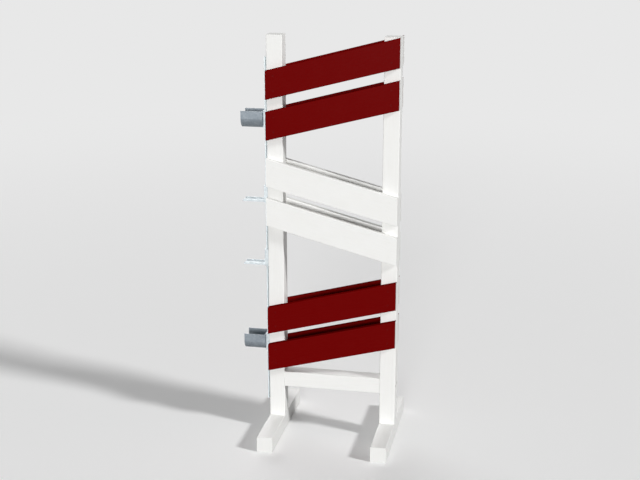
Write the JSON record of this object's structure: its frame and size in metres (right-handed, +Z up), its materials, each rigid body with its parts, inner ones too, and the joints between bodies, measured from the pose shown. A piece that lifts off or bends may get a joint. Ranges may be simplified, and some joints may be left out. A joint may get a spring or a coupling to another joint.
{
  "type": "show jump wing",
  "caption": "Free-standing timber jump wing with sloping boards in pairs, a steel cup strip, and round and flat cups that slide and clamp.",
  "frame": {"origin": "on the ground in the middle of the wing's bounding box", "axes": "+X along the fence, away from the poles; +Y from front to back; +Z up"},
  "size_m": [0.689, 0.57, 1.8],
  "materials": {
    "white_paint": "white gloss paint on planed timber",
    "white_board_paint": "white gloss paint on planed board",
    "red_board_paint": "deep red satin paint, with white cut ends",
    "white_screw_paint": "painted over with the board",
    "red_screw_paint": "painted over with the board",
    "zinc_screws": "bright zinc plate",
    "strip_steel": "galvanised",
    "carriage_steel": "bright galvanised",
    "cup_steel": "dull blue-grey galvanised",
    "black_plastic": "moulded",
    "brass": "turned"
  },
  "bodies": {
    "frame": {"inner_post": "white_paint", "outer_post": "white_paint", "inner_foot": "white_paint", "outer_foot": "white_paint", "bottom_rail": "white_paint", "front_top_upper_board": "red_board_paint", "front_top_lower_board": "red_board_paint", "front_middle_upper_board": "white_board_paint", "front_middle_lower_board": "white_board_paint", "front_bottom_upper_board": "red_board_paint", "front_bottom_lower_board": "red_board_paint", "back_top_upper_board": "red_board_paint", "back_top_lower_board": "red_board_paint", "back_middle_upper_board": "white_board_paint", "back_middle_lower_board": "white_board_paint", "back_bottom_upper_board": "red_board_paint", "back_bottom_lower_board": "red_board_paint", "front_top_screws": "red_screw_paint", "front_middle_screws": "white_screw_paint", "front_bottom_screws": "red_screw_paint", "back_top_screws": "red_screw_paint", "back_middle_screws": "white_screw_paint", "back_bottom_screws": "red_screw_paint", "foot_screws": "zinc_screws", "rail_screws": "zinc_screws", "strip_screws": "zinc_screws", "strip_packer": "strip_steel", "cup_strip": "strip_steel"},
    "upper_pole_cup": {"upper_pole_carriage": "carriage_steel", "upper_pole_cradle": "cup_steel"},
    "upper_pole_pad": {"upper_pole_clamp_pad": "brass"},
    "upper_pole_clamp": {"upper_pole_clamp_screw": "zinc_screws", "upper_pole_clamp_knob": "black_plastic"},
    "upper_plank_cup": {"upper_plank_carriage": "carriage_steel", "upper_plank_shelf": "carriage_steel"},
    "upper_plank_pad": {"upper_plank_clamp_pad": "brass"},
    "upper_plank_clamp": {"upper_plank_clamp_screw": "zinc_screws", "upper_plank_clamp_knob": "black_plastic"},
    "lower_plank_cup": {"lower_plank_carriage": "carriage_steel", "lower_plank_shelf": "carriage_steel"},
    "lower_plank_pad": {"lower_plank_clamp_pad": "brass"},
    "lower_plank_clamp": {"lower_plank_clamp_screw": "zinc_screws", "lower_plank_clamp_knob": "black_plastic"},
    "lower_pole_cup": {"lower_pole_carriage": "carriage_steel", "lower_pole_cradle": "cup_steel"},
    "lower_pole_pad": {"lower_pole_clamp_pad": "brass"},
    "lower_pole_clamp": {"lower_pole_clamp_screw": "zinc_screws", "lower_pole_clamp_knob": "black_plastic"}
  },
  "joints": [
    {"name": "upper_pole_cup_height", "type": "slide", "parent": "frame", "child": "upper_pole_cup", "axis": [0, 0, 1], "range_m": [-0.14, 0.225]},
    {"name": "upper_pole_pad_travel", "type": "slide", "parent": "upper_pole_cup", "child": "upper_pole_pad", "axis": [0, 1, 0], "range_m": [0, 0.00125]},
    {"name": "upper_pole_clamp_turn", "type": "hinge", "parent": "upper_pole_pad", "child": "upper_pole_clamp", "pos_m": [-0.2395, 0.04, 1.437], "axis": [0, 1, 0], "range_deg": [0, 360]},
    {"name": "upper_plank_cup_height", "type": "slide", "parent": "frame", "child": "upper_plank_cup", "axis": [0, 0, 1], "range_m": [-0.08, 0.1]},
    {"name": "upper_plank_pad_travel", "type": "slide", "parent": "upper_plank_cup", "child": "upper_plank_pad", "axis": [0, 1, 0], "range_m": [0, 0.00125]},
    {"name": "upper_plank_clamp_turn", "type": "hinge", "parent": "upper_plank_pad", "child": "upper_plank_clamp", "pos_m": [-0.2395, 0.04, 1.108], "axis": [0, 1, 0], "range_deg": [0, 360]},
    {"name": "lower_plank_cup_height", "type": "slide", "parent": "frame", "child": "lower_plank_cup", "axis": [0, 0, 1], "range_m": [-0.15, 0.115]},
    {"name": "lower_plank_pad_travel", "type": "slide", "parent": "lower_plank_cup", "child": "lower_plank_pad", "axis": [0, 1, 0], "range_m": [0, 0.00125]},
    {"name": "lower_plank_clamp_turn", "type": "hinge", "parent": "lower_plank_pad", "child": "lower_plank_clamp", "pos_m": [-0.2395, 0.04, 0.819], "axis": [0, 1, 0], "range_deg": [0, 360]},
    {"name": "lower_pole_cup_height", "type": "slide", "parent": "frame", "child": "lower_pole_cup", "axis": [0, 0, 1], "range_m": [-0.225, 0.155]},
    {"name": "lower_pole_pad_travel", "type": "slide", "parent": "lower_pole_cup", "child": "lower_pole_pad", "axis": [0, 1, 0], "range_m": [0, 0.00125]},
    {"name": "lower_pole_clamp_turn", "type": "hinge", "parent": "lower_pole_pad", "child": "lower_pole_clamp", "pos_m": [-0.2395, 0.04, 0.421], "axis": [0, 1, 0], "range_deg": [0, 360]}
  ],
  "couplings": [
    {"joint": "upper_pole_clamp_turn", "follows": "upper_pole_pad_travel", "rad_per_m": 5026.5},
    {"joint": "upper_plank_clamp_turn", "follows": "upper_plank_pad_travel", "rad_per_m": 5026.5},
    {"joint": "lower_plank_clamp_turn", "follows": "lower_plank_pad_travel", "rad_per_m": 5026.5},
    {"joint": "lower_pole_clamp_turn", "follows": "lower_pole_pad_travel", "rad_per_m": 5026.5}
  ]
}
